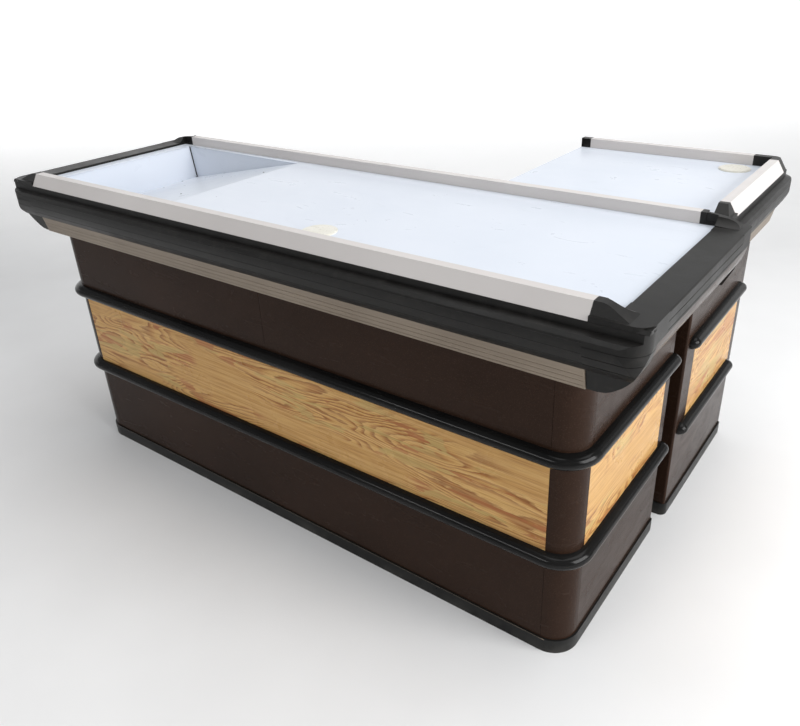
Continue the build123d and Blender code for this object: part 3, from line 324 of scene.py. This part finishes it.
def cream_plastic():
    """Cream moulded plastic, slightly yellowed and dirty."""
    g = Graph("cream plastic")
    cloud = g.noise(g.coords, 60.0, 4.0, 0.6)
    colour = g.ramp(cloud, [(0.3, (0.66, 0.64, 0.56)), (0.7, (0.73, 0.715, 0.65))])
    dirt = g.noise(g.coords, 160.0, 4.0, 0.7)
    colour = g.mix(g.remap(dirt, 0.60, 0.78, 0.0, 0.4), colour, (0.34, 0.29, 0.21))
    roughness = g.remap(dirt, 0.3, 0.7, 0.24, 0.42)
    return g.finish(colour, roughness, g.bump(dirt, 0.08, 0.0003))


def drawer_plastic():
    """Dark grey moulded cash tray with a spark-eroded texture."""
    g = Graph("drawer plastic")
    grain = g.noise(g.coords, 700.0, 3.0)
    cloud = g.noise(g.coords, 18.0, 3.0)
    colour = g.ramp(cloud, [(0.3, (0.030, 0.031, 0.034)), (0.7, (0.046, 0.047, 0.050))])
    roughness = g.remap(grain, 0.3, 0.7, 0.48, 0.62)
    return g.finish(colour, roughness, g.bump(grain, 0.25, 0.0004))


MAKERS = (
    coffee_steel, woodgrain_steel, white_steel, white_profile, black_plastic, black_rubber,
    trim_metal, frame_steel, plinth_black, bright_steel, cream_plastic, drawer_plastic,
)
MATERIALS = {make.__name__: make() for make in MAKERS}
SLOT_OF = {entry["node"]: entry["material_slot"] for entry in frame["record"]["subparts"]}


# ---------------------------------------------------------------- the CAD nodes' finish
EDGE_RADIUS = 0.5
OTHER_RADII = {
    1.5: ("side_end_caps",),
    1.3: ("front_rail", "back_rail", "side_right_rail", "side_back_rail"),
    1.2: ("corner_cap_front_right", "corner_cap_front_left", "corner_cap_back_right",
          "corner_cap_back_left", "side_corner_cap"),
    0.8: ("end_strip_right", "end_strip_left"),
    0.6: ("grommet_cap_main", "grommet_cap_side", "main_worktop", "side_worktop"),
    0.4: ("grommet_liners",),
}
RADIUS_OF = {node: radius for radius, nodes in OTHER_RADII.items() for node in nodes}
SHARP = math.radians(32)


def dress(node):
    """Give a CAD node its material, smooth shading and a fine edge radius."""
    obj = NODES[node]
    obj.data.materials.clear()
    obj.data.materials.append(MATERIALS[SLOT_OF[node]])
    bevel = obj.modifiers.new("edge radius", "BEVEL")
    bevel.width = RADIUS_OF.get(node, EDGE_RADIUS) * MM
    bevel.segments = 2
    bevel.limit_method = "ANGLE"
    bevel.angle_limit = SHARP
    bevel.harden_normals = True
    obj.data.polygons.foreach_set("use_smooth", [True] * len(obj.data.polygons))


for name in NODES:
    dress(name)


# ---------------------------------------------------------------- small details
ORIGIN = Vector((-0.810, -0.5315, 0.0))
RAMP_FOOT_X = 5.0
RAMP_FOOT_Z = 720.0
RAMP_RISE = 99.0
RAMP_RUN = 477.0
SEAM_Y = 498.8
BACK_LIP_Y = 499.6
BACK_LIP_Z = 818.4
LEFT_LIP_X = -8.6
LEFT_LIP_Z = 818.6


def placed(x, y, z):
    """Counter millimetres, measured from the main cabinet's front left corner, as frame metres."""
    return Vector((x, y, z)) * MM + ORIGIN


def band(work, rings):
    """Quads between neighbouring rings of vertices."""
    for first, second in zip(rings, rings[1:]):
        for side in range(len(first)):
            n = (side + 1) % len(first)
            work.faces.new((first[side], first[n], second[n], second[side]))


def keep(work, name, slot):
    """Turn a closed bmesh into a smooth detail object that stays with the counter."""
    bmesh.ops.recalc_face_normals(work, faces=work.faces)
    mesh = bpy.data.meshes.new(name)
    work.to_mesh(mesh)
    work.free()
    mesh.polygons.foreach_set("use_smooth", [True] * len(mesh.polygons))
    mesh.materials.append(MATERIALS[slot])
    obj = bpy.data.objects.new(name, mesh)
    bpy.context.scene.collection.objects.link(obj)
    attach(obj, "counter")


def bead(name, points, radius, slot, sides=10):
    """Round bead with flat ends, of a given radius in millimetres, along a run of points."""
    path = [placed(*point) for point in points]
    work = bmesh.new()
    rings = []
    for k, spot in enumerate(path):
        before = path[max(k - 1, 0)]
        after = path[min(k + 1, len(path) - 1)]
        run = (after - before).normalized()
        reference = Vector((0, 0, 1)) if abs(run.z) < 0.9 else Vector((0, 1, 0))
        across = run.cross(reference).normalized()
        upward = across.cross(run)
        ring = []
        for side in range(sides):
            angle = math.tau * side / sides
            offset = across * math.cos(angle) + upward * math.sin(angle)
            ring.append(work.verts.new(spot + offset * radius * MM))
        rings.append(ring)
    band(work, rings)
    work.faces.new(list(reversed(rings[0])))
    work.faces.new(rings[-1])
    keep(work, name, slot)


def rivet(name, centre, radius, height, lean, slot, sides=20):
    """Low domed head, its foot sunk a little; lean tips it so that it lies on the ramp."""
    profile = [(1.0, -0.4), (1.0, 0.25), (0.88, 0.52), (0.62, 0.80), (0.32, 0.95)]
    cosine = math.cos(lean)
    sine = math.sin(lean)
    work = bmesh.new()
    rings = []

    def corner(x, y, z):
        tipped_x = centre[0] + x * cosine - z * sine
        tipped_z = centre[2] + x * sine + z * cosine
        return work.verts.new(placed(tipped_x, centre[1] + y, tipped_z))

    for wide, tall in profile:
        ring = []
        for side in range(sides):
            angle = math.tau * side / sides
            out_x = radius * wide * math.cos(angle)
            out_y = radius * wide * math.sin(angle)
            ring.append(corner(out_x, out_y, height * tall))
        rings.append(ring)
    crown = corner(0, 0, height)
    band(work, rings)
    for side in range(sides):
        work.faces.new((rings[-1][side], rings[-1][(side + 1) % sides], crown))
    work.faces.new(list(reversed(rings[0])))
    keep(work, name, slot)


def tray_details():
    """The tray's folded lips, its sealed corner seam with a plug at its foot, and its rivets."""
    lean = math.atan2(RAMP_RISE, RAMP_RUN)
    seam = [(x, SEAM_Y, z) for x, z in ((-6.8, 817.0), (-2.4, 785.0), (2.0, 752.0), (6.2, 722.0))]
    bead("tray_seam", seam, 1.5, "black_plastic")
    rivet("tray_weep_plug", (10.5, 494.5, 721.2), 4.2, 1.6, lean, "black_plastic")
    back_lip = [(x, BACK_LIP_Y, BACK_LIP_Z) for x in (-8.0, 230.0, 478.0)]
    bead("tray_back_lip", back_lip, 1.6, "white_steel")
    left_lip = [(LEFT_LIP_X, y, LEFT_LIP_Z) for y in (12.0, 250.0, 499.0)]
    bead("tray_left_lip", left_lip, 1.6, "white_steel")
    for k, (x, y) in enumerate(((19.0, 428.0), (364.0, 165.0), (449.0, 391.0))):
        height = RAMP_FOOT_Z + (x - RAMP_FOOT_X) * RAMP_RISE / RAMP_RUN
        rivet(f"tray_rivet_{k + 1}", (x, y, height), 2.8, 1.3, lean, "frame_steel")


def plinth_edge():
    """Painted highlight: a thin bright line along the plinth's folded top edge, where light glints
    on it.
    """
    front = [(x, -3.6, 34.6) for x in (46.0, 500.0, 1100.0, 1574.0)]
    bead("plinth_edge_highlight", front, 0.5, "trim_metal")


tray_details()
plinth_edge()


# ---------------------------------------------------------------- camera, light and floor
def camera():
    """Camera from the front right and above, with a slight roll and a shifted lens."""
    azimuth = math.radians(36.987)
    roll = math.radians(-2.194)
    place = Vector((1.2423, -1.5864, 1.3324))
    forward = Vector((-0.5350, 0.7103, -0.4574)).normalized()
    level = Vector((math.cos(azimuth), math.sin(azimuth), 0)).normalized()
    upright = level.cross(forward)
    right = level * math.cos(roll) + upright * math.sin(roll)
    up = upright * math.cos(roll) - level * math.sin(roll)
    data = bpy.data.cameras.new("camera")
    data.lens = 33.674
    data.sensor_width = 36.0
    data.sensor_fit = "HORIZONTAL"
    data.shift_x = -0.0190
    data.shift_y = -0.0219
    data.clip_end = 60.0
    view = bpy.data.objects.new("camera", data)
    matrix = view.matrix_world
    for row in range(3):
        matrix[row][0] = right[row]
        matrix[row][1] = up[row]
        matrix[row][2] = -forward[row]
        matrix[row][3] = place[row]
    view.matrix_world = matrix
    bpy.context.scene.collection.objects.link(view)
    bpy.context.scene.camera = view


def area_light(name, place, target, size, power):
    """White rectangular light aimed at a target; places and sizes are metres, power is watts."""
    data = bpy.data.lights.new(name, "AREA")
    data.shape = "RECTANGLE"
    data.size, data.size_y = size
    data.energy = power
    light = bpy.data.objects.new(name, data)
    light.location = place
    light.rotation_euler = (Vector(target) - Vector(place)).to_track_quat("-Z", "Y").to_euler()
    bpy.context.scene.collection.objects.link(light)


def bowl_mesh():
    """Flat disc whose rim curves up through a quarter circle to a standing wall."""
    steps = 96
    flat_rings = 8
    bend_rings = 32
    first_radius = 0.6
    flat = 7.0
    bend = 6.0
    profile = [(first_radius + flat * k / flat_rings, 0.0) for k in range(flat_rings)]
    for k in range(bend_rings + 1):
        turn = math.radians(90) * k / bend_rings
        profile.append((first_radius + flat + bend * math.sin(turn), bend * (1 - math.cos(turn))))
    points = [(0.0, 0.0, 0.0)]
    for radius, height in profile:
        for step in range(steps):
            angle = math.tau * step / steps
            points.append((radius * math.cos(angle), radius * math.sin(angle), height))
    faces = [(0, 1 + k, 1 + (k + 1) % steps) for k in range(steps)]
    for ring in range(len(profile) - 1):
        low = 1 + ring * steps
        high = low + steps
        for k in range(steps):
            n = (k + 1) % steps
            faces.append((low + k, high + k, high + n, low + n))
    mesh = bpy.data.meshes.new("floor")
    mesh.from_pydata(points, [], faces)
    mesh.polygons.foreach_set("use_smooth", [True] * len(mesh.polygons))
    return mesh


def pale_floor():
    """Matt pale grey that glows more and more behind the counter, as seen by the camera."""
    g = Graph("pale floor")
    x, y = g.split(g.coords)[:2]
    cloud = g.noise(g.coords, 3.0, 3.0)
    colour = g.ramp(cloud, [(0.3, (0.80, 0.80, 0.80)), (0.7, (0.83, 0.83, 0.83))])
    away = g.math("ADD", g.math("MULTIPLY", x, -0.6), g.math("MULTIPLY", y, 0.8))
    glow = g.math("MULTIPLY", g.remap(away, 1.5, 6.0), 0.80)
    g.feed(g.shader.inputs["Emission Strength"], glow)
    g.shader.inputs["Emission Color"].default_value = (1.0, 1.0, 1.0, 1.0)
    return g.finish(colour, 0.75, Specular_IOR_Level=0.1)


def floor():
    """Ground that sweeps up into a backdrop all round."""
    mesh = bowl_mesh()
    mesh.materials.append(pale_floor())
    ground = bpy.data.objects.new("floor", mesh)
    bpy.context.scene.collection.objects.link(ground)


def surroundings():
    """Dim, slightly blue light from all round."""
    world = bpy.data.worlds.new("studio")
    world.use_nodes = True
    background = world.node_tree.nodes["Background"]
    background.inputs["Color"].default_value = (0.95, 0.97, 1.0, 1.0)
    background.inputs["Strength"].default_value = 0.25
    bpy.context.scene.world = world


camera()
floor()
area_light("sky", (0.6, 0.6, 4.2), (0.1, 0.0, 0.5), (4.5, 4.5), 125)
area_light("right", (3.9, -0.1, 1.9), (0.7, 0.1, 0.45), (2.6, 2.0), 135)
area_light("front", (-0.8, -4.2, 2.8), (0.0, 0.0, 0.4), (3.2, 0.5), 40)
surroundings()
bpy.context.scene.view_settings.view_transform = "Standard"
